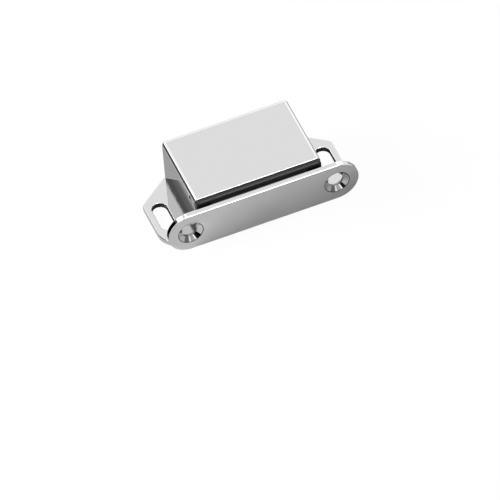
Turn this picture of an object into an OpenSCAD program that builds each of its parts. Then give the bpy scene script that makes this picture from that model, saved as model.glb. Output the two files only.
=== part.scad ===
// Magnetic door catch with its strike plate.
// The frame: X runs along the catch, -Y points at the door, +Z away from the cabinet wall.
// The origin is the centre of the cover's footprint, on the face that lies on the cabinet.
// All sizes are in millimetres.

/* [Cover] */
// Width of the cover across its end walls
cover_w = 43.2; // [36:0.1:60]
// Depth of the cover, from its open front to its back wall
cover_d = 28.2; // [24:0.1:40]
// Height of the whole catch above the cabinet
body_h = 19; // [18:0.1:30]
// Thickness of the cover's sheet
cover_t = 1; // [0.6:0.1:1.5]
// Inside radius of the cover's folds
fold_r = 0.3; // [0.1:0.1:1]
// Width of each tab that fixes the cover to the base plate
tab_w = 4; // [2:0.5:6]
// Distance between the two tabs of one end wall, centre to centre
tab_pitch = 15; // [10:0.5:18]

/* [Base plate] */
// Thickness of the base plate
base_t = 2; // [1:0.1:3]
// Reach of each ear beyond the cover
ear_w = 10.9; // [10.5:0.1:20]
// Length of the slanted back corner, measured from back to front
ear_slant = 8.4; // [4:0.1:12]
// Radius of the ear's front corner
ear_front_r = 7; // [3:0.1:9]
// Radius of the ear's back corners
ear_back_r = 2; // [1:0.1:3]
// Radius of the tumbled edges of the base plate and of the strike plate
edge_r = 0.4; // [0.2:0.05:0.45]

/* [Screw slots] */
// Width of each screw slot
slot_w = 5; // [4.2:0.1:6]
// Length of each screw slot, end to end
slot_l = 12; // [8:0.1:14]
// Distance from the cover's side to the middle of the slot
slot_out = 6.4; // [5:0.1:7]
// Distance of the slot's middle in front of the cover's middle
slot_ahead = 1.5; // [0:0.1:3]

/* [Magnet holder] */
// How far the holder stands in front of the cover
collar_p = 1.6; // [1:0.1:3]
// How far the holder's collar lies inside the cover's outline
collar_inset = 0.2; // [0:0.05:0.5]
// Radius of the collar's front edges
collar_edge_r = 0.6; // [0.3:0.05:0.9]
// Thickness of the holder's side walls
holder_side = 2; // [1.5:0.1:4]
// Thickness of the holder's floor and roof
holder_floor = 1.5; // [1:0.1:2.5]
// Thickness of the holder's front wall behind the collar
holder_front = 2.4; // [1.5:0.1:4]
// Diameter of the two pegs that hold the holder to the base plate
peg_d = 4; // [2.5:0.1:6]
// Distance between the two pegs, centre to centre
peg_pitch = 24; // [10:1:30]

/* [Magnet and poles] */
// Thickness of each steel pole plate
pole_t = 2; // [1:0.1:3]
// How far the pole plates stand out of the holder
pole_p = 0.8; // [0.4:0.1:2]
// Width of each shoulder that keeps a pole plate in the holder
pole_shoulder = 2; // [1:0.1:4]

/* [Strike plate] */
// Length of the strike plate
strike_l = 65; // [60:0.5:80]
// Width of the strike plate
strike_w = 15; // [12:0.1:16]
// Thickness of the strike plate
strike_t = 2; // [1.5:0.1:4]
// Distance between the two screw holes, centre to centre
hole_pitch = 50; // [40:0.5:50]
// Diameter of the screw holes
hole_d = 5; // [3:0.1:6]
// Diameter of the countersink at the plate's face
sink_d = 8.4; // [7:0.1:10]
// Depth of the countersink
sink_depth = 1.2; // [0.8:0.05:1.3]

/* [Fits] */
// Clearance round each piece that slides into another
fit_gap = 0.1; // [0.05:0.01:0.2]

/* [Hidden] */

steel = "#d4d6d8";
dark_steel = "#8f9296";
black_plastic = "#232425";
ferrite = "#3b3a3c";

round_fn = 72;
small_fn = 32;
// Overrun of a cut past the surface that it leaves
over = 1;
// How far a corner's rounding stands past the sides that it joins, so that they cross cleanly
tangent_lap = 0.02;

half_w = cover_w / 2;
front_y = -cover_d / 2;
back_y = cover_d / 2;
bend_r = fold_r + cover_t;

ear_x = half_w + ear_w;
slot_x = half_w + slot_out;

// The holder stands on the base plate and fills the cover
holder_w = cover_w - 2 * cover_t - 2 * fit_gap;
holder_top = body_h - cover_t - fit_gap;
holder_back = back_y - cover_t - fit_gap;
shoulder_y = front_y + holder_front;
collar_y = front_y - collar_p;

// The magnet and its two poles fill the holder from floor to roof
stack_z = base_t + holder_floor;
stack_h = holder_top - holder_floor - stack_z;
magnet_h = stack_h - 2 * pole_t;
pole_w = holder_w - 2 * holder_side - 2 * fit_gap;
tongue_w = pole_w - 2 * pole_shoulder;
stack_back = holder_back - fit_gap;
magnet_z = stack_z + pole_t;

// The strike plate lies flat on the tips of both poles
strike_y = collar_y - pole_p;
strike_z = stack_z + stack_h / 2;

// Unit vector from point a to point b
function unit(a, b) = (b - a) / norm(b - a);

// Half of the angle between two sides that meet at corner b
function half_angle(a, b, c) = acos(unit(b, a) * unit(b, c)) / 2;

// Direction that the outer face of the side from a to b looks in
function facing(a, b) = atan2(a.x - b.x, b.y - a.y);

// Centre of the arc that rounds corner b between points a and c
function arc_centre(a, b, c, r) =
    b + unit([0, 0], unit(b, a) + unit(b, c)) * r / sin(half_angle(a, b, c));

// Point on the side from a to b where the arc round corner a ends, or the one round b starts
function arc_start(a, b, c, r) = b + unit(b, a) * r / tan(half_angle(a, b, c));
function arc_end(a, b, c, r) = b + unit(b, c) * r / tan(half_angle(a, b, c));

// Item before and after item i of a closed list
function before(list, i) = list[(i + len(list) - 1) % len(list)];
function after(list, i) = list[(i + 1) % len(list)];

// Section from the middle of a plate to its edge: reach r, thickness t, edge radii e_low and e_high
module edge_section(r, t, e_low, e_high) {
    e = max(e_low, e_high);
    square([r - e, t]);
    translate([0, e_low])
        square([r, t - e_low - e_high]);
    if (e_low > 0) {
        square([r - e_low, t / 2]);
        translate([r - e_low, e_low])
            circle(r = e_low, $fn = small_fn);
    }
    if (e_high > 0) {
        translate([0, t / 2])
            square([r - e_high, t / 2]);
        translate([r - e_high, t - e_high])
            circle(r = e_high, $fn = small_fn);
    }
}

// Plate with a true arc at each corner, from z 0 to t, and its lower and upper edges rounded all the
// way along. Corners run anticlockwise and bulge out.
module soft_plate(corners, radii, t, e_low, e_high) {
    e = max(e_low, e_high);
    // The core overlaps the bar behind each side, which is two edge radii deep
    inset = 1.5 * e;
    linear_extrude(height = t)
        polygon([
            for (i = [0 : len(corners) - 1])
                let (a = before(corners, i), b = corners[i], c = after(corners, i))
                let (m = arc_centre(a, b, c, radii[i]))
                let (s = arc_start(a, b, c, radii[i]), f = arc_end(a, b, c, radii[i]))
                each [s + unit(s, m) * inset, f + unit(f, m) * inset]
        ]);
    for (i = [0 : len(corners) - 1]) {
        b = corners[i];
        c = after(corners, i);
        m = arc_centre(before(corners, i), b, c, radii[i]);
        s = arc_end(before(corners, i), b, c, radii[i]);
        f = arc_start(b, c, after(corners, i + 1), after(radii, i));
        turn = 180 - 2 * half_angle(before(corners, i), b, c);
        translate([m.x, m.y, 0])
            rotate([0, 0, facing(before(corners, i), b)])
                rotate_extrude(angle = turn, $fn = round_fn)
                    edge_section(radii[i], t, e_low, e_high);
        translate([f.x, f.y, 0])
            rotate([90, 0, facing(b, c)])
                linear_extrude(height = norm(f - s))
                    translate([-2 * e, 0])
                        edge_section(2 * e, t, e_low, e_high);
    }
}

// Box with rounded top edges and rounded back corners, cut from three crossing profiles
module folded_form(half, y0, y1, z0, z1, r) {
    intersection() {
        translate([0, y1, 0])
            rotate([90, 0, 0])
                linear_extrude(height = y1 - y0)
                    union() {
                        translate([-half, z0])
                            square([2 * half, z1 - z0 - r]);
                        translate([r - half, z0])
                            square([2 * (half - r), z1 - z0]);
                        for (side = [-1, 1])
                            translate([side * (half - r), z1 - r])
                                circle(r = r, $fn = small_fn);
                    }
        translate([-half, 0, 0])
            rotate([90, 0, 90])
                linear_extrude(height = 2 * half)
                    union() {
                        translate([y0, z0])
                            square([y1 - y0, z1 - z0 - r]);
                        translate([y0, z0])
                            square([y1 - y0 - r, z1 - z0]);
                        translate([y1 - r, z1 - r])
                            circle(r = r, $fn = small_fn);
                    }
        translate([0, 0, z0])
            linear_extrude(height = z1 - z0)
                union() {
                    translate([-half, y0])
                        square([2 * half, y1 - y0 - r]);
                    translate([r - half, y0])
                        square([2 * (half - r), y1 - y0]);
                    for (side = [-1, 1])
                        translate([side * (half - r), y1 - r])
                            circle(r = r, $fn = small_fn);
                }
    }
}

// Places a child at each of the cover's four tabs
module at_tabs() {
    for (side = [-1, 1], end = [-1, 1])
        translate([side * (half_w - cover_t / 2), end * tab_pitch / 2, 0])
            children();
}

// Places a child at each of the holder's two pegs
module at_pegs() {
    for (side = [-1, 1])
        translate([side * peg_pitch / 2, 0, 0])
            children();
}

// Slot that a screw passes through, running from front to back
module screw_slot() {
    run = slot_l - slot_w;
    for (end = [-1, 1])
        translate([0, end * run / 2, -over])
            cylinder(d = slot_w, h = base_t + 2 * over, $fn = round_fn);
    translate([-slot_w / 2, -run / 2, -over])
        cube([slot_w, run, base_t + 2 * over]);
}

// Endless plate with one rounded edge, which the side from a to b lies on
module half_plate(a, b, t, e) {
    reach = 2 * (ear_x + cover_d);
    translate([a.x, a.y, 0])
        rotate([90, 0, facing(a, b)])
            translate([-reach, 0, -reach])
                linear_extrude(height = 2 * reach)
                    edge_section(reach, t, e, e);
}

// What is cut away to round the corner b between points a and c of a soft plate
module corner_waste(a, b, c, r, t, e) {
    m = arc_centre(a, b, c, r);
    translate([m.x, m.y, 0])
        rotate([0, 0, atan2(b.y - m.y, b.x - m.x)])
            difference() {
                translate([r * sin(half_angle(a, b, c)), -r, -over])
                    cube([r, 2 * r, t + 2 * over]);
                rotate_extrude($fn = round_fn)
                    edge_section(r + tangent_lap, t, e, e);
            }
}

// Thick stamped plate with an ear on each side
module base_plate() {
    ear_corner = [ear_x, back_y - ear_slant];
    cover_corner = [half_w, back_y];
    color(steel)
        difference() {
            intersection() {
                soft_plate(
                    [[-ear_x, front_y], [ear_x, front_y], [ear_x, back_y], [-ear_x, back_y]],
                    [ear_front_r, ear_front_r, ear_back_r, ear_back_r],
                    base_t, edge_r, edge_r
                );
                half_plate(ear_corner, cover_corner, base_t, edge_r);
                mirror([1, 0, 0])
                    half_plate(ear_corner, cover_corner, base_t, edge_r);
            }
            for (side = [0, 1])
                mirror([side, 0, 0]) {
                    corner_waste([ear_x, front_y], ear_corner, cover_corner, ear_back_r, base_t, edge_r);
                    corner_waste(ear_corner, cover_corner, [0, back_y], ear_back_r, base_t, edge_r);
                }
            for (side = [-1, 1])
                translate([side * slot_x, -slot_ahead, 0])
                    screw_slot();
            at_tabs()
                translate([-cover_t / 2 - fit_gap, -tab_w / 2 - fit_gap, -over])
                    cube([cover_t + 2 * fit_gap, tab_w + 2 * fit_gap, base_t + 2 * over]);
            at_pegs()
                translate([0, 0, -over])
                    cylinder(d = peg_d + 2 * fit_gap, h = base_t + 2 * over, $fn = small_fn);
        }
}

// Folded sheet, open at the front and below, with tabs through the base plate
module cover() {
    color(steel) {
        difference() {
            folded_form(half_w, front_y, back_y, base_t, body_h, bend_r);
            folded_form(
                half_w - cover_t, front_y - over, back_y - cover_t,
                base_t - over, body_h - cover_t, fold_r
            );
        }
        at_tabs()
            translate([-cover_t / 2, -tab_w / 2, 0])
                cube([cover_t, tab_w, base_t + over]);
    }
}

// Moulded block: a box open at the back, a collar in front of the cover and two pegs below
module magnet_holder() {
    collar_half = half_w - collar_inset;
    collar_top = body_h - collar_inset;
    collar_low = base_t + collar_inset;
    corner_r = max(bend_r, collar_edge_r + collar_inset);
    holder_r = fold_r + fit_gap;
    cavity_half = pole_w / 2 + fit_gap;
    tongue_half = tongue_w / 2 + fit_gap;
    color(black_plastic)
        difference() {
            union() {
                folded_form(
                    holder_w / 2, front_y - collar_p / 2, holder_back,
                    base_t, holder_top, holder_r
                );
                translate([0, front_y - fit_gap, 0])
                    rotate([90, 0, 0])
                        soft_plate(
                            [
                                [-collar_half, collar_low], [collar_half, collar_low],
                                [collar_half, collar_top], [-collar_half, collar_top]
                            ],
                            [corner_r, corner_r, corner_r, corner_r],
                            collar_p - fit_gap, 0, collar_edge_r
                        );
                at_pegs()
                    cylinder(d = peg_d, h = base_t + holder_floor, $fn = small_fn);
            }
            translate([-cavity_half, shoulder_y, stack_z])
                cube([2 * cavity_half, cover_d, stack_h]);
            for (z = [stack_z, magnet_z + magnet_h - fit_gap])
                translate([-tongue_half, collar_y - over, z])
                    cube([2 * tongue_half, shoulder_y - collar_y + 2 * over, pole_t + fit_gap]);
        }
}

// Sintered block between the two poles
module magnet() {
    color(ferrite)
        translate([-pole_w / 2, shoulder_y, magnet_z])
            cube([pole_w, stack_back - shoulder_y, magnet_h]);
}

// Steel plate with a tongue that reaches through the holder's front wall
module pole_plate() {
    color(dark_steel)
        linear_extrude(height = pole_t)
            polygon([
                [-tongue_w / 2, strike_y], [tongue_w / 2, strike_y],
                [tongue_w / 2, shoulder_y], [pole_w / 2, shoulder_y],
                [pole_w / 2, stack_back], [-pole_w / 2, stack_back],
                [-pole_w / 2, shoulder_y], [-tongue_w / 2, shoulder_y]
            ]);
}

module lower_pole() {
    translate([0, 0, stack_z])
        pole_plate();
}

module upper_pole() {
    translate([0, 0, magnet_z + magnet_h])
        pole_plate();
}

// Flat plate with round ends, soft edges and two countersunk holes
module strike_plate() {
    run = strike_l - strike_w;
    color(steel)
        translate([0, strike_y, strike_z])
            rotate([90, 0, 0])
                difference() {
                    union() {
                        for (side = [-1, 1]) {
                            translate([side * run / 2, 0, 0])
                                rotate_extrude($fn = round_fn)
                                    edge_section(strike_w / 2, strike_t, edge_r, edge_r);
                            translate([-run / 2, 0, 0])
                                rotate([90, 0, 90])
                                    linear_extrude(height = run)
                                        mirror([side > 0 ? 1 : 0, 0])
                                            edge_section(strike_w / 2, strike_t, edge_r, edge_r);
                        }
                    }
                    for (side = [-1, 1])
                        translate([side * hole_pitch / 2, 0, 0]) {
                            translate([0, 0, -over])
                                cylinder(d = hole_d, h = strike_t + 2 * over, $fn = round_fn);
                            translate([0, 0, strike_t - sink_depth])
                                cylinder(
                                    d1 = hole_d,
                                    d2 = sink_d + (sink_d - hole_d) * over / sink_depth,
                                    h = sink_depth + over,
                                    $fn = round_fn
                                );
                        }
                }
}

base_plate();
cover();
magnet_holder();
magnet();
upper_pole();
lower_pole();
strike_plate();
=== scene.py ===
"""Magnetic door catch: its dressed pieces, the studio round them and the camera.

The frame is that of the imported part: X runs along the catch, -Y points at the door, +Z away from the
cabinet. Sizes in the classes are millimetres, and a Skin turns them to metres as it makes the mesh.
"""
from __future__ import annotations

import logging
import math
from collections.abc import Sequence
from dataclasses import dataclass, field
from enum import Enum

import bpy
import numpy as np
from mathutils import Matrix, Vector
from mathutils.geometry import tessellate_polygon


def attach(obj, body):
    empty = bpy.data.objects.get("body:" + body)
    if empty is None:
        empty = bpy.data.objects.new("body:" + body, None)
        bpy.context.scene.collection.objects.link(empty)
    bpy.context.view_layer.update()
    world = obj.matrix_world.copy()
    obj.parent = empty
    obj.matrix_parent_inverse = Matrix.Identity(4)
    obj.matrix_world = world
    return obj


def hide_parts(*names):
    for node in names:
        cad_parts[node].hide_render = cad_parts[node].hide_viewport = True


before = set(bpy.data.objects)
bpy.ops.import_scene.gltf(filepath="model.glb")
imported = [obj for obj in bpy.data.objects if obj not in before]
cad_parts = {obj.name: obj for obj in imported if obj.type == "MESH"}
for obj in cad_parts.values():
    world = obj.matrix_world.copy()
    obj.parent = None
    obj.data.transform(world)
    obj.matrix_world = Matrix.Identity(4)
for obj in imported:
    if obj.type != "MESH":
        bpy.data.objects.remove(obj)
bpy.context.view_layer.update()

logging.basicConfig(level=logging.INFO, format="%(message)s")
log = logging.getLogger("door_catch")

MM = 0.001
# Corners nearer than this are one vertex, in millimetres
MERGE_WITHIN = 2e-4
# A length or a turn smaller than this counts as none
NONE_UNDER = 1e-6
# A hole's wall is sheared where its normal rises less than this
STEEP_UNDER = 0.3
# Radius of an edge that lies inside another piece, in millimetres
HIDDEN_EDGE = 0.02
# Nearly all values of a noise texture lie between these two
NOISE_LOW = 0.3
NOISE_HIGH = 0.7

Corners = list[tuple[float, float]]
Triple = tuple[float, float, float]


# Lines and loops


@dataclass
class Line:
    """A plane line with its normals, as two arrays of the same length.

    Attributes:
        points: Places along the line, shape (n, 2).
        normals: Unit vectors that point out of the material, shape (n, 2).
    """

    points: np.ndarray
    normals: np.ndarray

    def turned_inside_out(self) -> Line:
        """Returns the line with its normals reversed, as a hole's edge needs."""
        return Line(self.points, -self.normals)

    def moved(self, x: float, y: float) -> Line:
        """Returns the line moved by x and y."""
        return Line(self.points + np.array([x, y]), self.normals)

    def reversed(self) -> Line:
        """Returns the line with its points in the other order."""
        return Line(self.points[::-1], self.normals[::-1])


def unit(vectors: np.ndarray) -> np.ndarray:
    """Gives vectors the length 1, v / |v|, and leaves those of length 0.

    Args:
        vectors: Array whose last axis holds the components.

    Returns:
        The unit vectors, of the same shape.
    """
    length = np.linalg.norm(vectors, axis=-1, keepdims=True)
    return vectors / np.where(length > 0, length, 1)


def right_of(directions: np.ndarray) -> np.ndarray:
    """Turns each direction of travel to its right-hand side: (dy, -dx) with length 1.

    Args:
        directions: Directions in the plane, shape (n, 2).

    Returns:
        The unit vectors, of the same shape.
    """
    return unit(np.stack([directions[:, 1], -directions[:, 0]], axis=1))


def arcs(a: np.ndarray, b: np.ndarray, c: np.ndarray, radii: np.ndarray, steps: int) -> Line:
    """Rounds the corners b between the points a and c.

    With u and v the unit vectors from b to a and to c and w half the angle between them, the arc
    starts at s = b + u r / tan w. Its normal turns from n0, at the right of the way in, by the
    corner's turn q = sign (pi - 2 w), and its points are p = s + sign r (n - n0).

    Args:
        a: Points before the corners, shape (k, 2).
        b: The corners.
        c: Points after the corners.
        radii: Radius of each corner, shape (k,).
        steps: Number of straight steps in each arc.

    Returns:
        The arcs one after another, as one line.
    """
    u, v = unit(a - b), unit(c - b)
    half = np.arccos(np.clip(np.sum(u * v, axis=1), -1, 1)) / 2
    sign = np.sign(u[:, 1] * v[:, 0] - u[:, 0] * v[:, 1])
    first = right_of(-u)
    start = b + u * (radii / np.tan(half))[:, None]
    turn = (sign * (math.pi - 2 * half))[:, None] * np.linspace(0, 1, steps + 1)
    angle = np.arctan2(first[:, 1], first[:, 0])[:, None] + turn
    normals = np.stack([np.cos(angle), np.sin(angle)], axis=2)
    points = start[:, None] + (sign * radii)[:, None, None] * (normals - first[:, None])
    return Line(points.reshape(-1, 2), normals.reshape(-1, 2))


def ring(corners: Corners, radii: list[float] | float, steps: int = 8) -> Line:
    """Makes a closed outline with rounded corners.

    Args:
        corners: The corners before they are rounded, anticlockwise.
        radii: One radius for all, or one for each corner.
        steps: Number of steps in each corner's arc.

    Returns:
        The outline, with its normals outwards.
    """
    b = np.array(corners, dtype=float)
    r = np.broadcast_to(np.array(radii, dtype=float), (len(b),))
    return arcs(np.roll(b, 1, axis=0), b, np.roll(b, -1, axis=0), r, steps)


def chain(corners: Corners, radii: list[float] | float, steps: int = 8) -> Line:
    """Makes an open line whose inner corners are rounded.

    Args:
        corners: The two ends and the corners between them.
        radii: One radius for all inner corners, or one for each.
        steps: Number of steps in each corner's arc.

    Returns:
        The line, with its normals at the right.
    """
    b = np.array(corners, dtype=float)
    r = np.broadcast_to(np.array(radii, dtype=float), (len(b) - 2,))
    ends = right_of(np.array([b[1] - b[0], b[-1] - b[-2]]))
    middle = arcs(b[:-2], b[1:-1], b[2:], r, steps) if len(b) > 2 else Line(b[:0], b[:0])
    return Line(
        np.concatenate([b[:1], middle.points, b[-1:]]),
        np.concatenate([ends[:1], middle.normals, ends[1:]]),
    )


def circle(radius: float, count: int = 96) -> Line:
    """Makes a circle about the origin: p = r (cos t, sin t).

    Args:
        radius: The circle's radius.
        count: Number of points.

    Returns:
        The circle, with its normals outwards.
    """
    t = np.linspace(0, 2 * math.pi, count, endpoint=False)
    normals = np.stack([np.cos(t), np.sin(t)], axis=1)
    return Line(normals * radius, normals)


def rectangle(half: float, low: float, high: float) -> Corners:
    """Lists the corners of a rectangle that lies evenly about the second axis.

    Args:
        half: Half of its width.
        low: Its lower side.
        high: Its upper side.

    Returns:
        The four corners, anticlockwise from the lower left one.
    """
    return [(-half, low), (half, low), (half, high), (-half, high)]


def soft_edge(thickness: float, low: float, high: float, steps: int = 6) -> Line:
    """Makes the section of a plate's edge, from its lower face round to its upper face.

    Args:
        thickness: The plate's thickness.
        low: Radius of the lower edge.
        high: Radius of the upper edge.
        steps: Number of steps in each rounding.

    Returns:
        The section: the first number of a point is its reach beyond the outline, the second its
        height.
    """
    return chain([(-low, 0), (0, 0), (0, thickness), (-high, thickness)], [low, high], steps)


# Meshes


@dataclass
class Place:
    """Where a plane outline and its height lie in the part's frame.

    Attributes:
        across: Direction of the outline's first axis.
        along: Direction of its second axis.
        up: Direction of the height.
        origin: Where the outline's zero lies.
    """

    across: Triple = (1, 0, 0)
    along: Triple = (0, 1, 0)
    up: Triple = (0, 0, 1)
    origin: Triple = (0, 0, 0)

    @classmethod
    def facing_door(cls, y: float = 0.0, z: float = 0.0) -> Place:
        """Returns the place of an outline in X and Z whose height grows towards the door."""
        return cls(along=(0, 0, 1), up=(0, -1, 0), origin=(0, y, z))

    def vectors(self, plane: np.ndarray, height: np.ndarray) -> np.ndarray:
        """Turns plane vectors and their heights into space: x across + y along + h up.

        Args:
            plane: Components in the outline's plane, shape (..., 2).
            height: Height of each, shape (...).

        Returns:
            The vectors, shape (..., 3), without the origin.
        """
        axes = np.array([self.across, self.along, self.up], dtype=float)
        return np.concatenate([plane, height[..., None]], axis=-1) @ axes

    def points(self, plane: np.ndarray, height: np.ndarray) -> np.ndarray:
        """Returns the places of plane points and their heights, with the origin added."""
        return self.vectors(plane, height) + np.array(self.origin, dtype=float)


@dataclass
class Skin:
    """The surface of one piece, gathered patch by patch, with the normal at each corner.

    Each face is held as four corners, and a triangle repeats its last one. The normals come from
    the formulas of the surfaces, so that a flat face mirrors as a plane right up to its rounding.

    Attributes:
        corners: Places of each patch's corners, shape (faces, 4, 3).
        normals: Their normals, of the same shape.
        finishes: Number of each face's finish in the piece's own list.
    """

    corners: list[np.ndarray] = field(default_factory=list)
    normals: list[np.ndarray] = field(default_factory=list)
    finishes: list[np.ndarray] = field(default_factory=list)

    def grid(
        self,
        points: np.ndarray,
        normals: np.ndarray,
        closed: bool = False,
        columns: np.ndarray | None = None,
    ) -> None:
        """Adds a patch that is a grid of two parameters.

        Args:
            points: Places, shape (rows, columns, 3).
            normals: Unit normals of the same shape.
            closed: Whether the last row joins the first.
            columns: Number of the finish between each two columns, or None for the first finish.
        """
        if closed:
            points = np.concatenate([points, points[:1]])
            normals = np.concatenate([normals, normals[:1]])
        for source, store in ((points, self.corners), (normals, self.normals)):
            around = [source[:-1, :-1], source[1:, :-1], source[1:, 1:], source[:-1, 1:]]
            store.append(np.stack(around, axis=2).reshape(-1, 4, 3))
        kinds = np.zeros(points.shape[1] - 1, dtype=np.int32) if columns is None else columns
        self.finishes.append(np.tile(kinds, points.shape[0] - 1))

    def cap(self, loops: list[np.ndarray], normal: Triple) -> None:
        """Adds a flat face with holes, cut into triangles.

        Args:
            loops: The outer loop and then each hole's, each of shape (n, 3).
            normal: The direction that the face looks in.
        """
        steps = [np.linalg.norm(loop - np.roll(loop, 1, axis=0), axis=1) for loop in loops]
        clean = [loop[step > NONE_UNDER] for loop, step in zip(loops, steps)]
        triangles = np.array(tessellate_polygon([loop.tolist() for loop in clean]))
        places = np.concatenate(clean)[triangles]
        self.corners.append(places[:, [0, 1, 2, 2]])
        self.normals.append(np.broadcast_to(np.array(normal, dtype=float), (len(places), 4, 3)))
        self.finishes.append(np.zeros(len(places), dtype=np.int32))

    def edge(
        self,
        outline: Line,
        section: Line,
        place: Place,
        wall: int = 0,
        rim: int = 0,
        closed: bool = True,
    ) -> np.ndarray:
        """Adds a section carried along an outline.

        The point at outline place p with normal n, and section reach o and height h, is
        p + o n in the outline's plane at height h. Its normal is (section normal's reach) n
        plus its height.

        Args:
            outline: The outline.
            section: The section, as reach and height.
            place: Where the outline's plane lies.
            wall: Number of the finish of the steep part of the section.
            rim: Number of the finish of its roundings, or 0 to leave them.
            closed: Whether the outline is closed.

        Returns:
            The places, shape (outline points, section points, 3).
        """
        reach, height = section.points[:, 0], section.points[:, 1]
        plane = outline.points[:, None] + outline.normals[:, None] * reach[None, :, None]
        points = place.points(plane, np.broadcast_to(height, plane.shape[:2]))
        turned = outline.normals[:, None] * section.normals[None, :, :1]
        rise = section.normals[:, 1]
        normals = place.vectors(turned, np.broadcast_to(rise, plane.shape[:2]))
        steep = np.maximum(np.abs(rise[1:]), np.abs(rise[:-1])) < STEEP_UNDER
        kinds = np.where(steep, wall, 0)
        if rim:
            kinds[np.abs(np.diff(rise)) > NONE_UNDER] = rim
        self.grid(points, normals, closed=closed, columns=kinds)
        return points

    def plate(
        self,
        outline: Line,
        section: Line,
        place: Place,
        holes: Sequence[tuple[Line, Line]] = (),
        rim: int = 0,
    ) -> None:
        """Adds a flat plate with a shaped edge and shaped holes.

        Args:
            outline: The plate's outline, anticlockwise.
            section: The section of its edge, from the lower face to the upper.
            place: Where the plate's lower face lies.
            holes: For each hole, its loop with the normals into the hole, and its section.
            rim: Number of the finish of the holes' roundings, or 0 to leave them.
        """
        sides = [self.edge(outline, section, place)]
        sides += [self.edge(loop, wall, place, wall=1, rim=rim) for loop, wall in holes]
        up = np.array(place.up, dtype=float)
        self.cap([side[:, 0] for side in sides], tuple(-up))
        self.cap([side[:, -1] for side in sides], tuple(up))

    def build(self, name: str) -> bpy.types.Object:
        """Makes the object: one mesh in metres, closed, with its normals set.

        Corners that meet become one vertex, a face that loses all its area is dropped, and each
        face is turned so that it looks the way its normals do.

        Args:
            name: The piece's name.

        Returns:
            The piece, still without finishes.
        """
        corners = np.concatenate(self.corners)
        normals = np.concatenate(self.normals)
        facing = np.cross(corners[:, 2] - corners[:, 0], corners[:, 3] - corners[:, 1])
        wrong = np.sum(facing * normals.mean(axis=1), axis=1) < 0
        corners[wrong] = corners[wrong, ::-1]
        normals[wrong] = normals[wrong, ::-1]

        keys = np.round(corners.reshape(-1, 3) / MERGE_WITHIN).astype(np.int64)
        _, first, index = np.unique(keys, axis=0, return_index=True, return_inverse=True)
        index = index.reshape(-1, 4)
        kept = index != np.roll(index, 1, axis=1)
        alive = kept.sum(axis=1) > 2
        kept, index, normals = kept[alive], index[alive], normals[alive]
        finishes = np.concatenate(self.finishes)[alive]

        mesh = bpy.data.meshes.new(name)
        mesh.vertices.add(len(first))
        mesh.vertices.foreach_set("co", (corners.reshape(-1, 3)[first] * MM).ravel())
        totals = kept.sum(axis=1)
        starts = np.concatenate([[0], np.cumsum(totals)[:-1]])
        mesh.loops.add(int(totals.sum()))
        mesh.loops.foreach_set("vertex_index", index[kept].astype(np.int32))
        mesh.polygons.add(len(totals))
        mesh.polygons.foreach_set("loop_start", starts.astype(np.int32))
        mesh.polygons.foreach_set("use_smooth", np.ones(len(totals), dtype=bool))
        mesh.polygons.foreach_set("material_index", finishes)
        mesh.update(calc_edges=True)
        mesh.validate()
        mesh.normals_split_custom_set(unit(normals[kept]).tolist())
        piece = bpy.data.objects.new(name, mesh)
        bpy.context.scene.collection.objects.link(piece)
        return piece


# Finishes


def linear(hex_colour: str) -> tuple[float, float, float, float]:
    """Turns an sRGB hex colour into the linear one that a shader takes.

    Args:
        hex_colour: Six hex digits, with or without a hash sign.

    Returns:
        Red, green, blue and an alpha of 1.
    """
    digits = hex_colour.lstrip("#")
    values = np.array([int(digits[i:i + 2], 16) for i in (0, 2, 4)]) / 255
    values = np.where(values <= 0.04045, values / 12.92, ((values + 0.055) / 1.055) ** 2.4)
    return (*values.tolist(), 1.0)


def add_node(
    tree: bpy.types.NodeTree,
    kind: str,
    settings: dict[str, object] | None = None,
    inputs: dict[str | int, object] | None = None,
) -> bpy.types.Node:
    """Adds one node to a tree, with its settings, and sets or links its inputs.

    Args:
        tree: The node tree.
        kind: The node's type name.
        settings: Properties of the node itself.
        inputs: For each input socket, a plain value or the output socket that feeds it.

    Returns:
        The new node.
    """
    node = tree.nodes.new(kind)
    for key, value in (settings or {}).items():
        setattr(node, key, value)
    for key, value in (inputs or {}).items():
        if isinstance(value, bpy.types.NodeSocket):
            tree.links.new(value, node.inputs[key])
        else:
            node.inputs[key].default_value = value
    return node


def new_material(name: str) -> tuple[bpy.types.Material, bpy.types.NodeTree]:
    """Makes an empty material.

    Args:
        name: The material's name.

    Returns:
        The material and its node tree.
    """
    material = bpy.data.materials.new(name)
    material.use_nodes = True
    material.node_tree.nodes.clear()
    return material, material.node_tree


def per_mm(size: float) -> float:
    """Returns the scale of a pattern whose features are this many millimetres apart."""
    return 1 / (size * MM)


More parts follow.
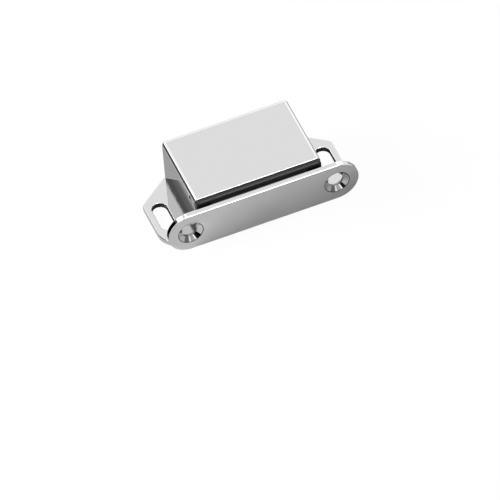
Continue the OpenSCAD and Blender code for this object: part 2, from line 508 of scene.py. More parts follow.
@dataclass(frozen=True)
class GrainedFinish:
    """What every finish here has: a colour, and a roughness that wanders with a fine grain.

    Attributes:
        name: What the material and its finish are called.
        colour: What a metal reflects, or the body colour of anything else, sRGB hex.
        roughness: Typical roughness of that finish.
        spread: How far the roughness wanders from it.
        grain_mm: Size of the grain, drawn as coarse as it needs to show.
        grain_depth_mm: Height of the grain.
    """

    name: str
    colour: str
    roughness: float
    spread: float
    grain_mm: float
    grain_depth_mm: float

    def grain(
        self, tree: bpy.types.NodeTree, place: bpy.types.NodeSocket, detail: float
    ) -> tuple[bpy.types.NodeSocket, bpy.types.NodeSocket]:
        """Adds the grain, and the roughness that runs over its spread from low grain to high.

        Args:
            tree: The material's node tree.
            place: Object coordinates.
            detail: How many finer layers the grain has.

        Returns:
            The grain's height, from 0 to 1, and the roughness.
        """
        height = add_node(
            tree,
            "ShaderNodeTexNoise",
            inputs={"Vector": place, "Scale": per_mm(self.grain_mm), "Detail": detail},
        ).outputs["Fac"]
        roughness = add_node(
            tree,
            "ShaderNodeMapRange",
            inputs={
                "Value": height,
                "From Min": NOISE_LOW,
                "From Max": NOISE_HIGH,
                "To Min": self.roughness - self.spread,
                "To Max": self.roughness + self.spread,
            },
        ).outputs["Result"]
        return height, roughness


@dataclass(frozen=True)
class MetalFinish(GrainedFinish):
    """A bare metal surface: smooth to the hand, with a fine grain left by its making.

    Attributes:
        wave_mm: Length of the slow waves that rolling leaves in the sheet.
        wave_depth_mm: Height of those waves.
    """

    wave_mm: float
    wave_depth_mm: float

    def make(self) -> bpy.types.Material:
        """Makes the material, in which the bumps of the waves and of the grain add up.

        Returns:
            The material.
        """
        material, tree = new_material(self.name)
        place = add_node(tree, "ShaderNodeTexCoord").outputs["Object"]
        height, roughness = self.grain(tree, place, detail=3.0)
        wave = add_node(
            tree,
            "ShaderNodeTexNoise",
            inputs={"Vector": place, "Scale": per_mm(self.wave_mm), "Detail": 1.0},
        )
        waves = add_node(
            tree,
            "ShaderNodeBump",
            inputs={
                "Height": wave.outputs["Fac"],
                "Distance": self.wave_depth_mm * MM,
                "Strength": 1.0,
            },
        )
        bump = add_node(
            tree,
            "ShaderNodeBump",
            inputs={
                "Height": height,
                "Distance": self.grain_depth_mm * MM,
                "Strength": 1.0,
                "Normal": waves.outputs["Normal"],
            },
        )
        shader = add_node(
            tree,
            "ShaderNodeBsdfPrincipled",
            inputs={
                "Base Color": linear(self.colour),
                "Metallic": 1.0,
                "Roughness": roughness,
                "Normal": bump.outputs["Normal"],
            },
        )
        add_node(tree, "ShaderNodeOutputMaterial", inputs={"Surface": shader.outputs["BSDF"]})
        return material


@dataclass(frozen=True)
class MouldedFinish(GrainedFinish):
    """A solid-coloured moulded or pressed surface that isn't metal.

    Attributes:
        pale_colour: The colour of its paler specks, sRGB hex.
        ior: Index of refraction of the bulk.
        shine: Strength of its gloss, 0.5 for a plain surface and less for one with fine pits.
    """

    pale_colour: str
    ior: float
    shine: float

    def make(self) -> bpy.types.Material:
        """Makes the material, whose colour and roughness both wander with the grain.

        Returns:
            The material.
        """
        material, tree = new_material(self.name)
        place = add_node(tree, "ShaderNodeTexCoord").outputs["Object"]
        height, roughness = self.grain(tree, place, detail=4.0)
        colour = add_node(
            tree,
            "ShaderNodeMix",
            settings={"data_type": "RGBA"},
            inputs={"Factor": height, 6: linear(self.colour), 7: linear(self.pale_colour)},
        )
        bump = add_node(
            tree,
            "ShaderNodeBump",
            inputs={"Height": height, "Distance": self.grain_depth_mm * MM, "Strength": 1.0},
        )
        shader = add_node(
            tree,
            "ShaderNodeBsdfPrincipled",
            inputs={
                "Base Color": colour.outputs[2],
                "Roughness": roughness,
                "IOR": self.ior,
                "Specular IOR Level": self.shine,
                "Normal": bump.outputs["Normal"],
            },
        )
        add_node(tree, "ShaderNodeOutputMaterial", inputs={"Surface": shader.outputs["BSDF"]})
        return material


class Finish(Enum):
    """The finishes of the catch, each of which is made once."""

    # Stainless steel sheet, cold-rolled, folded and then tumbled: almost a mirror, barely hazy
    STAINLESS = MetalFinish(
        "bright_tumbled_stainless_steel", "#dbdbdb", roughness=0.035, spread=0.008,
        grain_mm=0.15, grain_depth_mm=0.00002, wave_mm=9.0, wave_depth_mm=0.0004,
    )
    # The same sheet where a punch sheared through it: torn and dull, as no tumbling reaches it
    SHEARED = MetalFinish(
        "sheared_stainless_steel", "#8a8a8a", roughness=0.35, spread=0.08,
        grain_mm=0.1, grain_depth_mm=0.003, wave_mm=2.0, wave_depth_mm=0.002,
    )
    # The same steel, far darker and duller, on the roundings of the strike's holes: it draws a dark
    # ring round each countersink
    TURNED = MetalFinish(
        "dark_rim_stainless_steel", "#5a5a5a", roughness=0.3, spread=0.06,
        grain_mm=0.1, grain_depth_mm=0.002, wave_mm=2.0, wave_depth_mm=0.001,
    )
    # Zinc-plated mild steel with sheared edges: greyer, and hazier than the stainless sheet
    PLATED = MetalFinish(
        "zinc_plated_mild_steel", "#b9bcc0", roughness=0.3, spread=0.06,
        grain_mm=0.12, grain_depth_mm=0.002, wave_mm=4.0, wave_depth_mm=0.001,
    )
    # Black nylon from a spark-eroded mould: deep black with a fine even grain
    NYLON = MouldedFinish(
        "moulded_black_nylon", "#282828", roughness=0.2, spread=0.04,
        grain_mm=0.12, grain_depth_mm=0.002, pale_colour="#2f2f2f", ior=1.45, shine=0.32,
    )
    # Pressed and sintered ferrite: charcoal grey, dry, with pale specks of grit
    FERRITE = MouldedFinish(
        "sintered_ferrite", "#2b2a2c", roughness=0.6, spread=0.1,
        grain_mm=0.25, grain_depth_mm=0.01, pale_colour="#4a484a", ior=2.0, shine=0.5,
    )

    def material(self) -> bpy.types.Material:
        """Returns the finish's material, made at its first use."""
        return bpy.data.materials.get(self.value.name) or self.value.make()


class Body(Enum):
    """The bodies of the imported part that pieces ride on."""

    CATCH = "catch"
    STRIKE = "strike"


class Slot(Enum):
    """The material slots of the record."""

    STAINLESS = "stainless_steel"
    PLATED = "plated_steel"
    PLASTIC = "black_plastic"


def dress(
    piece: bpy.types.Object, finishes: list[Finish], body: Body, node: str
) -> bpy.types.Object:
    """Gives a new piece its finishes and its body, and lets it stand for a node of the frame.

    Args:
        piece: The new piece.
        finishes: Its finish, and then those of its holes' walls and rims if they look different.
        body: The body that it rides on.
        node: The node that it replaces.

    Returns:
        The piece.
    """
    for finish in finishes:
        piece.data.materials.append(finish.material())
    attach(piece, body.value)
    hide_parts(node)
    log.info("%s: %d faces, rides on %s", piece.name, len(piece.data.polygons), body.value)
    return piece


# The catch


@dataclass
class Cover:
    """The cover: one stainless sheet folded down on three sides, open in front and below.

    Attributes:
        width: Over its end walls.
        depth: From its open front to its back wall.
        bottom: Height of its lower edge.
        top: Height of its upper face.
        sheet: Thickness of the sheet.
        bend: Outside radius of the folds.
        rim: Radius that tumbling gives the sheet's cut edges.
        tab_width: Width of each tab through the base plate.
        tab_pitch: Distance between the two tabs of one wall.
        tab_edge: Radius of the tabs' edges.
    """

    width: float = 43.2
    depth: float = 28.2
    bottom: float = 2.0
    top: float = 19.0
    sheet: float = 1.0
    bend: float = 1.3
    rim: float = 0.16
    tab_width: float = 4.0
    tab_pitch: float = 15.0
    tab_edge: float = 0.1

    @property
    def half(self) -> float:
        """Half of the width."""
        return self.width / 2

    @property
    def front(self) -> float:
        """Where the open front is, along Y."""
        return -self.depth / 2

    @property
    def back(self) -> float:
        """Where the outside of the back wall is, along Y."""
        return self.depth / 2

    def walls(self, skin: Skin) -> Line:
        """Adds the outer and inner faces of the three walls, their bends and the top.

        The section climbs the wall, turns through the bend and ends level with the top. It is
        carried along the three walls seen from above.

        Args:
            skin: The skin to add to.

        Returns:
            The walls' outside line seen from above.
        """
        start, low = self.front + self.rim, self.bottom + self.rim
        half, back = self.half, self.back
        plan = chain([(half, start), (half, back), (-half, back), (-half, start)], self.bend)
        flat = np.array(rectangle(half - self.bend, start, back - self.bend))
        for depth, facing in ((0.0, 1.0), (self.sheet, -1.0)):
            level = self.top - depth
            corners = [(-depth, low), (-depth, level), (-self.bend, level)]
            section = chain(corners, self.bend - depth)
            section.normals *= facing
            skin.edge(plan, section, Place(), closed=False)
            skin.cap([np.insert(flat, 2, level, axis=1)], (0, 0, facing))
        return plan

    def edges(self, skin: Skin, plan: Line) -> None:
        """Adds the sheet's cut edge, all the way round the open front and along the foot.

        At each place on the edge, N looks out of the sheet and E out of its edge. The edge's
        section of reach o and push e gives the point p + o N + e E. E turns from forwards to
        downwards at the two front corners.

        Args:
            skin: The skin to add to.
            plan: The walls' outside line seen from above.
        """
        start, low = self.front + self.rim, self.bottom + self.rim
        half, top = self.half, self.top
        arch = chain([(half, low), (half, top), (-half, top), (-half, low)], self.bend)
        forward, down = np.array([0.0, -1.0, 0.0]), np.array([0.0, 0.0, -1.0])
        quarter = np.linspace(0, math.pi / 2, num=7)[:, None]
        turn = np.cos(quarter) * forward + np.sin(quarter) * down
        foot = plan.reversed()
        over = np.insert(arch.points, 1, start, axis=1)
        under = np.insert(foot.points, 2, low, axis=1)
        places = np.concatenate([
            over,
            np.broadcast_to(over[-1], turn.shape),
            under,
            np.broadcast_to(over[0], turn.shape),
        ])
        out = np.concatenate([
            np.insert(arch.normals, 1, 0, axis=1),
            np.broadcast_to([-1.0, 0, 0], turn.shape),
            np.insert(foot.normals, 2, 0, axis=1),
            np.broadcast_to([1.0, 0, 0], turn.shape),
        ])[:, None]
        edge_way = np.concatenate([
            np.broadcast_to(forward, over.shape),
            turn,
            np.broadcast_to(down, under.shape),
            turn[::-1],
        ])[:, None]
        sheet, rim = self.sheet, self.rim
        section = chain([(0, 0), (0, rim), (-sheet, rim), (-sheet, 0)], rim, steps=5)
        reach, push = section.points[None, :, :1], section.points[None, :, 1:]
        points = places[:, None] + out * reach + edge_way * push
        normals = out * section.normals[None, :, :1] + edge_way * section.normals[None, :, 1:]
        skin.grid(points, normals, closed=True)

    def tabs(self, skin: Skin) -> None:
        """Adds the four tabs, which end flush with the underside of the base plate.

        Args:
            skin: The skin to add to.
        """
        half_tab = rectangle(self.sheet / 2, -self.tab_width / 2, self.tab_width / 2)
        outline = ring(half_tab, self.tab_edge, steps=3)
        section = soft_edge(self.bottom + self.rim, self.tab_edge, HIDDEN_EDGE, steps=3)
        x, y = self.half - self.sheet / 2, self.tab_pitch / 2
        for side in (-1, 1):
            for end in (-1, 1):
                skin.plate(outline, section, Place(origin=(side * x, end * y, 0)))

    def build(self) -> bpy.types.Object:
        """Makes the cover.

        Returns:
            The finished cover.
        """
        skin = Skin()
        self.edges(skin, self.walls(skin))
        self.tabs(skin)
        piece = skin.build("folded_cover")
        return dress(piece, [Finish.STAINLESS], Body.CATCH, "cover")


@dataclass
class BasePlate:
    """The thick base plate with its two ears, their screw slots and the holes for tabs and pegs.

    Attributes:
        cover: The cover that stands on it.
        thickness: The plate's thickness.
        ear: Reach of each ear beyond the cover.
        slant: Length of the slanted back corner, from back to front.
        front_radius: Radius of the ear's front corner.
        back_radius: Radius of the ear's back corners.
        edge: Radius that tumbling gives its edges.
        slot_width: Width of each screw slot.
        slot_length: Length of each screw slot.
        slot_out: Distance from the cover's side to the middle of the slot.
        slot_ahead: Distance of the slot's middle in front of the cover's middle.
        slot_edge: Radius of the slot's upper edge.
        slot_foot: Radius of the slot's lower edge.
        peg: Diameter of the holes for the holder's pegs.
        peg_pitch: Distance between them.
        peg_hole_edge: Radius of their edges.
        gap: Clearance round the pegs.
        tab_gap: What shows of the clearance round the staked tabs.
    """

    cover: Cover
    thickness: float = 2.0
    ear: float = 10.9
    slant: float = 8.4
    front_radius: float = 7.0
    back_radius: float = 2.0
    edge: float = 0.3
    slot_width: float = 5.0
    slot_length: float = 12.0
    slot_out: float = 6.4
    slot_ahead: float = 1.5
    slot_edge: float = 0.25
    slot_foot: float = 0.1
    peg: float = 4.0
    peg_pitch: float = 24.0
    peg_hole_edge: float = 0.08
    gap: float = 0.1
    tab_gap: float = 0.02

    def holes(self) -> list[tuple[Line, Line]]:
        """Lists the holes: on each side a screw slot, a peg's hole and two slits for tabs.

        Returns:
            Each hole's loop and the section of its wall.
        """
        cover, thickness = self.cover, self.thickness
        slot_half, slot_end = self.slot_width / 2, self.slot_length / 2
        slot = ring(rectangle(slot_half, -slot_end, slot_end), slot_half, steps=24)
        slot_wall = soft_edge(thickness, self.slot_foot, self.slot_edge, steps=4)
        slit_half, slit_end = cover.sheet / 2 + self.tab_gap, cover.tab_width / 2 + self.tab_gap
        slit = ring(rectangle(slit_half, -slit_end, slit_end), self.gap, steps=2)
        slit_wall = soft_edge(thickness, self.tab_gap, self.tab_gap, steps=2)
        hole = circle(self.peg / 2 + self.gap, count=48)
        hole_wall = soft_edge(thickness, self.peg_hole_edge, self.peg_hole_edge, steps=2)
        found = []
        for side in (-1, 1):
            slot_x = side * (cover.half + self.slot_out)
            slit_x = side * (cover.half - cover.sheet / 2)
            found.append((slot.moved(slot_x, -self.slot_ahead), slot_wall))
            found.append((hole.moved(side * self.peg_pitch / 2, 0), hole_wall))
            for end in (-1, 1):
                found.append((slit.moved(slit_x, end * cover.tab_pitch / 2), slit_wall))
        return [(loop.turned_inside_out(), wall) for loop, wall in found]

    def build(self) -> bpy.types.Object:
        """Makes the base plate.

        Returns:
            The finished base plate.
        """
        half, front, back = self.cover.half, self.cover.front, self.cover.back
        wing = half + self.ear
        shoulder = back - self.slant
        corners = [
            (-wing, front), (wing, front), (wing, shoulder),
            (half, back), (-half, back), (-wing, shoulder),
        ]
        outline = ring(corners, [self.front_radius] * 2 + [self.back_radius] * 4, steps=24)
        section = soft_edge(self.thickness, self.edge, self.edge)
        skin = Skin()
        skin.plate(outline, section, Place(), self.holes())
        piece = skin.build("slotted_base_plate")
        finishes = [Finish.STAINLESS, Finish.SHEARED]
        return dress(piece, finishes, Body.CATCH, "base_plate")


@dataclass
class MagnetStack:
    """The black holder and the two pole plates that it keeps round the magnet.

    Attributes:
        cover: The cover that the holder fills.
        base: The base plate that it stands on.
        collar: How far the holder stands in front of the cover.
        collar_inset: How far the collar lies inside the cover's outline.
        collar_edge: Radius of the collar's front edges.
        foot_corner: Radius of the lower corners of the holder's body.
        roof_corner: Radius of its upper corners.
        side_wall: Thickness of the holder's side walls.
        floor: Thickness of its floor and roof.
        front_wall: Thickness of its front wall behind the collar.
        cavity_corner: Radius of the cavity's corners.
        mouth_corner: Radius of the corners of the mouths that the pole plates come through.
        mouth_edge: Radius of the mouths' front edges.
        peg_edge: Radius at the tip of each peg.
        pole: Thickness of each pole plate.
        pole_reach: How far the pole plates stand out of the holder.
        pole_corner: Radius of their outer corners.
        pole_notch: Radius of their inner corners, beside the tongue.
        pole_edge: Radius of their edges.
        shoulder: Width of each shoulder that keeps a pole plate in.
        gap: Clearance round each piece that slides into another.
        slack: Small extra room in the hidden cavity.
    """

    cover: Cover
    base: BasePlate
    collar: float = 1.6
    collar_inset: float = 0.2
    collar_edge: float = 0.6
    foot_corner: float = 0.1
    roof_corner: float = 0.4
    side_wall: float = 2.0
    floor: float = 1.5
    front_wall: float = 2.4
    cavity_corner: float = 0.1
    mouth_corner: float = 0.15
    mouth_edge: float = 0.1
    peg_edge: float = 0.2
    pole: float = 2.0
    pole_reach: float = 0.8
    pole_corner: float = 0.4
    pole_notch: float = 0.1
    pole_edge: float = 0.15
    shoulder: float = 2.0
    gap: float = 0.1
    slack: float = 0.05

    @property
    def half(self) -> float:
        """Half of the holder's width inside the cover."""
        return self.cover.half - self.cover.sheet - self.gap

    @property
    def roof(self) -> float:
        """Height of the holder's upper face."""
        return self.cover.top - self.cover.sheet - self.gap

    @property
    def rear(self) -> float:
        """Where the holder ends behind, along Y."""
        return self.cover.back - self.cover.sheet - self.gap

    @property
    def face(self) -> float:
        """Where the collar's front face is, along Y."""
        return self.cover.front - self.collar

    @property
    def tips(self) -> float:
        """Where the pole plates end in front, along Y."""
        return self.face - self.pole_reach

    @property
    def stop(self) -> float:
        """Where the pole plates' shoulders rest, along Y."""
        return self.cover.front + self.front_wall

    @property
    def stack_low(self) -> float:
        """Height of the lower pole plate's underside."""
        return self.base.thickness + self.floor

    @property
    def stack_high(self) -> float:
        """Height of the upper pole plate's upper face."""
        return self.roof - self.floor

    @property
    def pole_half(self) -> float:
        """Half of a pole plate's width."""
        return self.half - self.side_wall - self.gap

    @property
    def tongue_half(self) -> float:
        """Half of the width of the tongue that reaches through the holder's front."""
        return self.pole_half - self.shoulder

    def shell(self, skin: Skin) -> None:
        """Adds the holder's collar, its mouths for the poles, its walls and its cavity.

        Each wall is a plane loop carried straight back, and flat faces join the loops.

        Args:
            skin: The skin to add to.
        """
        cover, gap, inset = self.cover, self.gap, self.collar_inset
        foot, low, high = self.base.thickness, self.stack_low, self.stack_high
        frontal = rectangle(cover.half - inset, foot + inset, cover.top - inset)
        outer = ring(frontal, cover.bend, steps=12)
        body_radii = [self.foot_corner] * 2 + [self.roof_corner] * 2
        body = ring(rectangle(self.half, foot, self.roof), body_radii, steps=4)
        room = rectangle(self.pole_half + gap, low - self.slack, high + self.slack)
        cavity = ring(room, self.cavity_corner, steps=3).turned_inside_out()
        spans = ((low, low + self.pole + gap), (high - self.pole - gap, high))
        mouths = [
            ring(rectangle(self.tongue_half + gap, *span), self.mouth_corner, 3).turned_inside_out()
            for span in spans
        ]

        place = Place.facing_door()
        behind, stop, ledge, front = -self.rear, -self.stop, gap - cover.front, -self.face
        rounding = [(0, ledge), (0, front), (-self.collar_edge, front)]
        collar = skin.edge(outer, chain(rounding, self.collar_edge, steps=10), place)
        walls = skin.edge(body, chain([(0, behind), (0, ledge)], 0), place)
        inside = skin.edge(cavity, chain([(0, behind), (0, stop)], 0), place)
        lip = chain([(0, stop), (0, front), (-self.mouth_edge, front)], self.mouth_edge, steps=3)
        throats = [skin.edge(mouth, lip, place) for mouth in mouths]
        skin.cap([collar[:, -1], *(throat[:, -1] for throat in throats)], (0, -1, 0))
        skin.cap([collar[:, 0], walls[:, -1]], (0, 1, 0))
        skin.cap([walls[:, 0], inside[:, 0]], (0, 1, 0))
        skin.cap([inside[:, -1], *(throat[:, 0] for throat in throats)], (0, 1, 0))

    def pegs(self, skin: Skin) -> None:
        """Adds the two round pegs under the holder, which stand in the base plate's holes.

        Args:
            skin: The skin to add to.
        """
        peg = circle(self.base.peg / 2, count=48)
        section = soft_edge(self.base.thickness + self.gap, self.peg_edge, HIDDEN_EDGE, steps=3)
        for side in (-1, 1):
            skin.plate(peg, section, Place(origin=(side * self.base.peg_pitch / 2, 0, 0)))

    def holder(self) -> bpy.types.Object:
        """Makes the holder.

        Returns:
            The finished holder.
        """
        skin = Skin()
        self.shell(skin)
        self.pegs(skin)
        piece = skin.build("black_magnet_holder")
        return dress(piece, [Finish.NYLON], Body.CATCH, "magnet_holder")

    def pole_plate(self, name: str, height: float, node: str) -> bpy.types.Object:
        """Makes one pole plate, a sheared T whose tongue reaches out of the holder.

        Args:
            name: The piece's name.
            height: Height of its underside.
            node: The node that it replaces.

        Returns:
            The finished pole plate.
        """
        tongue, half, stop = self.tongue_half, self.pole_half, self.stop
        tips, rear = self.tips, self.rear - self.gap
        corners = [
            (-tongue, tips), (tongue, tips), (tongue, stop), (half, stop),
            (half, rear), (-half, rear), (-half, stop), (-tongue, stop),
        ]
        corner, notch = self.pole_corner, self.pole_notch
        radii = [corner, corner, notch, corner, corner, corner, corner, notch]
        section = soft_edge(self.pole, self.pole_edge, self.pole_edge, steps=4)
        skin = Skin()
        skin.plate(ring(corners, radii, steps=6), section, Place(origin=(0, 0, height)))
        return dress(skin.build(name), [Finish.PLATED], Body.CATCH, node)

    def build(self) -> list[bpy.types.Object]:
        """Makes the holder and both pole plates, and dresses the magnet between them.

        Returns:
            The three new pieces.
        """
        magnet = bpy.data.objects["magnet"]
        magnet.data.materials.clear()
        magnet.data.materials.append(Finish.FERRITE.material())
        log.info("magnet: kept as packed, dressed as %s", Finish.FERRITE.value.name)
        return [
            self.holder(),
            self.pole_plate("lower_pole_plate", self.stack_low, "lower_pole"),
            self.pole_plate("upper_pole_plate", self.stack_high - self.pole, "upper_pole"),
        ]


@dataclass
class StrikePlate:
    """The flat strike plate: round ends, tumbled edges and two countersunk holes.

    Attributes:
        stack: The magnet stack whose poles it lies on.
        length: Over its round ends.
        width: From lower to upper edge.
        thickness: The plate's thickness.
        edge: Radius of its edges.
        pitch: Distance between the holes.
        hole: Diameter of each hole.
        sink: Diameter of the countersink at the face.
        sink_depth: Depth of the countersink.
        sink_edge: Radius of the countersink's rim.
        burr: Radius of the hole's two inner edges.
    """

    stack: MagnetStack
    length: float = 65.0
    width: float = 15.0
    thickness: float = 2.0
    edge: float = 0.32
    pitch: float = 50.0
    hole: float = 5.0
    sink: float = 8.4
    sink_depth: float = 1.2
    sink_edge: float = 0.45
    burr: float = 0.22

    def hole_wall(self) -> Line:
        """Makes the section of a hole: straight through, then flared by the countersink.

        Returns:
            The section. It ends with a flat strip of the face, twice as wide as the rim's radius,
            so that the rim has room for its rounding.
        """
        straight = self.thickness - self.sink_depth
        flare = (self.sink - self.hole) / 2
        strip = 2 * self.sink_edge
        corners = [
            (-self.burr, 0), (0, 0), (0, straight),
            (-flare, self.thickness), (-flare - strip, self.thickness),
        ]
        return chain(corners, [self.burr, self.burr, self.sink_edge], steps=4)

    def build(self) -> bpy.types.Object:
        """Makes the strike plate, which stands upright against the poles.

        Returns:
            The finished strike plate.
        """
        middle = (self.stack.stack_low + self.stack.stack_high) / 2
        end = self.width / 2
        outline = ring(rectangle(self.length / 2, -end, end), end, steps=48)
        section = soft_edge(self.thickness, self.edge, self.edge)
        hole = circle(self.hole / 2).turned_inside_out()
        wall = self.hole_wall()
        holes = [(hole.moved(side * self.pitch / 2, 0), wall) for side in (-1, 1)]
        skin = Skin()
        skin.plate(outline, section, Place.facing_door(self.stack.tips, middle), holes, rim=2)
        piece = skin.build("countersunk_strike")
        finishes = [Finish.STAINLESS, Finish.SHEARED, Finish.TURNED]
        return dress(piece, finishes, Body.STRIKE, "strike_plate")


# The studio


def stage_sheet(name: str, corners: np.ndarray, material: bpy.types.Material) -> bpy.types.Object:
    """Makes a flat piece of the studio with four corners.

    Args:
        name: Its name.
        corners: Its corners in metres, shape (4, 3).
        material: Its material.

    Returns:
        The sheet.
    """
    mesh = bpy.data.meshes.new(name)
    mesh.from_pydata(corners.tolist(), [], [(0, 1, 2, 3)])
    mesh.materials.append(material)
    sheet = bpy.data.objects.new(name, mesh)
    bpy.context.scene.collection.objects.link(sheet)
    return sheet


@dataclass(frozen=True)
class Patch:
    """A round part of the studio's walls that is brighter or darker than the rest.

    Attributes:
        way: Direction of its middle, seen from the catch.
        inner: Angle in degrees within which it has its full strength.
        outer: Angle in degrees at which it has faded out.
        gain: What it multiplies the brightness by.
    """

    way: Triple
    inner: float
    outer: float
    gain: float


@dataclass(frozen=True)
class Card:
    """A flat dark card or grey gel near the catch, which only the steel and the plastic mirror; one
    lying on the floor is painted shade.

    Attributes:
        name: The card's name.
        low: Its corner with the lowest X, Y and Z, in millimetres.
        high: Its corner with the highest ones. An upright card has one X, a lying one has one Z.
        passes: Share of the light that it lets through: 0 for black card, more for a gel.
    """

    name: str
    low: Triple
    high: Triple
    passes: float = 0.0

    def build(self) -> bpy.types.Object:
        """Makes the card, which throws no shadow and doesn't show to the camera.

        Returns:
            The card.
        """
        material, tree = new_material(self.name)
        shade = (self.passes, self.passes, self.passes, 1.0)
        gel = add_node(tree, "ShaderNodeBsdfTransparent", inputs={"Color": shade})
        add_node(tree, "ShaderNodeOutputMaterial", inputs={"Surface": gel.outputs[0]})
        (x0, y0, z0), (x1, y1, z1) = self.low, self.high
        corners = np.array([(x0, y0, z0), (x1, y0, z1), (x1, y1, z1), (x0, y1, z0)])
        card = stage_sheet(self.name, corners * MM, material)
        card.visible_camera = card.visible_diffuse = card.visible_shadow = False
        return card


@dataclass
class Studio:
    """Plain soft light: a pale floor, bright walls that the steel mirrors, and one soft lamp.

    Attributes:
        patches: Brighter and darker parts of the walls.
        cards: Cards and gels near the catch, and sheets of painted shade on the floor.
        floor_colour: Colour of the floor, sRGB hex.
        floor_half_m: Half of the floor's side, in metres.
        floor_share: How much of the floor's own shading shows to the camera, the rest being white.
        white: Strength of that white, which brings an open part of the floor to plain white.
        ambient: Brightness of the walls as a soft light on the floor and the pieces.
        sky: Brightness of the walls as the steel mirrors them.
        lamp_power_w: Power of the soft lamp.
        lamp_size_m: Side of the lamp.
        lamp_place_m: Where the lamp hangs.
    """

    patches: tuple[Patch, ...]
    cards: tuple[Card, ...]
    floor_colour: str = "#dcdcdc"
    floor_half_m: float = 4.0
    floor_share: float = 0.06
    white: float = 1.03
    ambient: float = 0.28
    sky: float = 1.45
    lamp_power_w: float = 12.0
    lamp_size_m: float = 0.4
    lamp_place_m: Triple = (-0.83, 0.24, 0.41)

    def floor(self) -> bpy.types.Object:
        """Makes the floor, whose white shows to the camera and whose shade shows in the steel.

        Returns:
            The floor.
        """
        material, tree = new_material("white_paper_floor")
        path = add_node(tree, "ShaderNodeLightPath")
        paper = add_node(tree, "ShaderNodeBsdfDiffuse", inputs={"Color": linear(self.floor_colour)})
        white = add_node(tree, "ShaderNodeEmission", inputs={"Strength": self.white})
        share = add_node(
            tree,
            "ShaderNodeMath",
            {"operation": "MULTIPLY"},
            {0: path.outputs["Is Camera Ray"], 1: 1 - self.floor_share},
        )
        mix = add_node(
            tree,
            "ShaderNodeMixShader",
            inputs={0: share.outputs[0], 1: paper.outputs[0], 2: white.outputs[0]},
        )
        add_node(tree, "ShaderNodeOutputMaterial", inputs={"Surface": mix.outputs[0]})
        half = self.floor_half_m
        return stage_sheet("floor", np.insert(rectangle(half, -half, half), 2, 0, axis=1), material)

    def walls(self) -> None:
        """Makes the world: white to the camera, and to the steel a studio with brighter parts.

        The steel mirrors the sky's brightness times the gain of each patch, which fades from 1 at
        the patch's outer angle to its full gain at the inner one.
        """
        world = bpy.data.worlds.new("studio_walls")
        bpy.context.scene.world = world
        world.use_nodes = True
        tree = world.node_tree
        tree.nodes.clear()
        way = add_node(tree, "ShaderNodeTexCoord").outputs["Generated"]
        level: bpy.types.NodeSocket | float = self.sky
        for patch in self.patches:
            toward = add_node(
                tree,
                "ShaderNodeVectorMath",
                {"operation": "DOT_PRODUCT"},
                {0: way, 1: Vector(patch.way).normalized()},
            )
            gain = add_node(
                tree,
                "ShaderNodeMapRange",
                {"interpolation_type": "SMOOTHSTEP"},
                {
                    "Value": toward.outputs["Value"],
                    "From Min": math.cos(math.radians(patch.outer)),
                    "From Max": math.cos(math.radians(patch.inner)),
                    "To Min": 1.0,
                    "To Max": patch.gain,
                },
            )
            level = add_node(
                tree,
                "ShaderNodeMath",
                {"operation": "MULTIPLY"},
                {0: level, 1: gain.outputs["Result"]},
            ).outputs[0]
        path = add_node(tree, "ShaderNodeLightPath")
        soft = add_node(
            tree,
            "ShaderNodeMix",
            {"data_type": "FLOAT"},
            {"Factor": path.outputs["Is Glossy Ray"], 2: self.ambient, 3: level},
        )
        seen = add_node(
            tree,
            "ShaderNodeMix",
            {"data_type": "FLOAT"},
            {"Factor": path.outputs["Is Camera Ray"], 2: soft.outputs[0], 3: 1.0},
        )
        background = add_node(
            tree,
            "ShaderNodeBackground",
            inputs={"Color": linear("#ffffff"), "Strength": seen.outputs[0]},
        )
        add_node(tree, "ShaderNodeOutputWorld", inputs={"Surface": background.outputs[0]})

    def lamp(self) -> bpy.types.Object:
        """Makes the soft lamp, turned to look at the catch.

        Returns:
            The lamp.
        """
        light = bpy.data.lights.new("soft_lamp", "AREA")
        light.shape = "SQUARE"
        light.size = self.lamp_size_m
        light.energy = self.lamp_power_w
        lamp = bpy.data.objects.new("soft_lamp", light)
        place = Vector(self.lamp_place_m)
        turn = place.to_track_quat("Z", "Y").to_matrix().to_4x4()
        lamp.matrix_world = Matrix.Translation(place) @ turn
        lamp.visible_glossy = False
        bpy.context.scene.collection.objects.link(lamp)
        return lamp

    def build(self) -> None:
        """Makes the floor, the cards, the walls and the lamp."""
        bpy.context.scene.view_settings.view_transform = "Standard"
        self.floor()
        for card in self.cards:
            card.build()
        self.walls()
        self.lamp()
        counts = (len(self.patches), len(self.cards), self.lamp_power_w)
        log.info("studio: %d patches, %d cards, lamp of %.1f W", *counts)


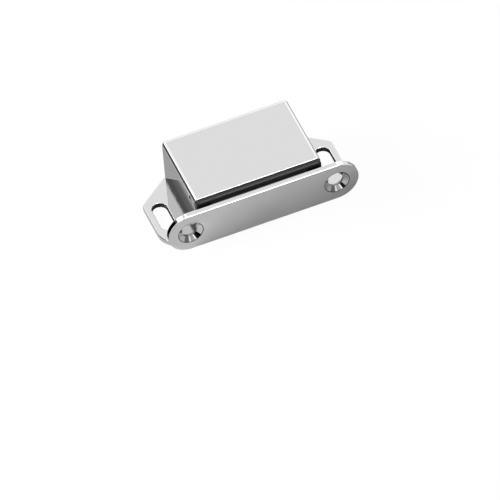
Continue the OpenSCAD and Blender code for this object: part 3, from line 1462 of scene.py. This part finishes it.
@dataclass
class Viewpoint:
    """The camera: far off with a very long lens, so that parallel edges stay almost parallel.

    Attributes:
        azimuth: Where it stands round the catch, in degrees; negative is towards -X.
        elevation: How high it looks from, in degrees.
        roll: How far the picture is turned, in degrees.
        scale: Pixels in a millimetre.
        picture: Side of the picture in pixels.
        origin_pixel: The pixel that the frame's origin falls on.
        lens_mm: Focal length.
        sensor_mm: Width of the sensor.
        sight: How far it sees, as a multiple of its distance.
    """

    azimuth: float = -18.4
    elevation: float = 48.0
    roll: float = 5.2
    scale: float = 3.147
    picture: int = 500
    origin_pixel: tuple[float, float] = (243.9, 189.3)
    lens_mm: float = 800.0
    sensor_mm: float = 36.0
    sight: float = 4.0

    def build(self) -> bpy.types.Object:
        """Makes the camera and gives it to the scene.

        It looks along -back, and its own right and up are the level and upright directions turned
        by the roll. It aims at the point that has to fall on the middle of the picture.

        Returns:
            The camera.
        """
        a, e, roll = (math.radians(v) for v in (self.azimuth, self.elevation, self.roll))
        back = Vector((math.sin(a) * math.cos(e), -math.cos(a) * math.cos(e), math.sin(e)))
        level = Vector((math.cos(a), math.sin(a), 0))
        upright = back.cross(level)
        right = level * math.cos(roll) - upright * math.sin(roll)
        up = level * math.sin(roll) + upright * math.cos(roll)
        middle = self.picture / 2
        aside = (middle - self.origin_pixel[0]) / self.scale
        above = (self.origin_pixel[1] - middle) / self.scale
        aim = (right * aside + up * above) * MM
        width = self.picture / self.scale * MM
        distance = width * self.lens_mm / self.sensor_mm
        data = bpy.data.cameras.new("camera")
        data.lens = self.lens_mm
        data.sensor_width = self.sensor_mm
        data.clip_end = distance * self.sight
        camera = bpy.data.objects.new("camera", data)
        turn = Matrix((right, up, back)).transposed().to_4x4()
        camera.matrix_world = Matrix.Translation(aim + back * distance) @ turn
        bpy.context.scene.collection.objects.link(camera)
        bpy.context.scene.camera = camera
        log.info("camera: %.2f m away", distance)
        return camera


STUDIO_PATCHES = (
    # Grey, high at the back: what the cover's top and the ears mirror
    Patch((0.211, 0.635, 0.743), 4, 9, 0.7),
    # Strip light over the front: the highlight on the holder's collar and on the front rims
    Patch((0.21, -0.67, 0.71), 11, 19, 6.5),
    # Dark at the right front: the dark slit in the countersinks
    Patch((0.69, -0.72, 0), 20, 32, 0.12),
    # Dim in front: the holder's black face and the lower side of the countersinks
    Patch((0.07, -0.93, 0.34), 8, 16, 0.33),
    # Black at the left front: the black block in the countersinks
    Patch((-0.5, -0.86, 0.03), 17, 22, 0.01),
    # Dark, low at the left back: the dark line under the cover's left fold
    Patch((-0.75, 0.64, 0.15), 22, 29, 0.08),
    # Bright at the left back: the white line on that fold
    Patch((-0.47, 0.635, 0.61), 4, 11, 2.4),
    # A little dim, low at the right back: the thin outline of the right edges
    Patch((0.76, 0.63, 0.16), 10, 18, 0.72),
)
STUDIO_CARDS = (
    # Black beside the strike: the black crescent on its left end
    Card("strike_card", (-45, -14, 0), (-45, 1, 26)),
    # Painted shade: a dark sheet on the floor left of the strike's foot, seen only in reflections,
    # that stands in for the shadow of the strike and the plate there
    Card("strike_foot_painted_shade", (-45, -16, 0.1), (-36, -2, 0.1), 0.1),
    # Low and black at the left front: the dark parts of the countersinks
    Card("sink_card", (-50, -85, 0), (-50, -40, 13)),
    # Dark strip where the floor meets the wall: the lower half of the line under the left fold
    Card("horizon_card", (-60, 10, 2), (-60, 60, 22), 0.08),
    # Above the left ear: the ear beside the end wall mirrors the pale gel, and the end wall, by
    # way of the ear, the others, dark at its foot and paler higher up
    Card("pale_gel", (-33.3, 5, 45), (-28.5, 52, 45), 0.6),
    Card("dark_gel", (-35.3, 18, 45), (-33.3, 56, 45), 0.08),
    Card("grey_gel", (-36.7, 18, 45), (-35.3, 56, 45), 0.125),
    Card("middle_gel", (-37.4, 18, 45), (-36.7, 56, 45), 0.18),
    Card("half_gel", (-40, 18, 45), (-37.4, 56, 45), 0.42),
    # Painted shade on the floor in the screw slots: grey sheets, seen only in reflections, that stand
    # in for the plate's shadow there, which the slots' walls mirror. The left one leaves a strip free,
    # because the end wall mirrors it
    Card("left_slot_painted_shade", (-31, -8, 0.05), (-27.1, 5, 0.05), 0.25),
    Card("left_slot_side_painted_shade", (-26.05, -8, 0.05), (-25.3, 5, 0.05), 0.15),
    Card("right_slot_painted_shade", (25.3, -8, 0.05), (31, 5, 0.05), 0.25),
    # Painted shadow on the floor behind the left ear: a grey sheet, seen only in reflections, for the
    # plate's contact shadow there, which gives the grey of the end wall's upper part
    Card("floor_painted_shadow", (-34, 6, 0.05), (-21.7, 34, 0.05), 0.65),
)


def main() -> None:
    """Builds the catch piece by piece, then the studio and the camera."""
    cover = Cover()
    base = BasePlate(cover)
    stack = MagnetStack(cover, base)
    strike = StrikePlate(stack)
    cover.build()
    base.build()
    stack.build()
    strike.build()
    Studio(STUDIO_PATCHES, STUDIO_CARDS).build()
    Viewpoint().build()


if __name__ == "__main__":
    main()
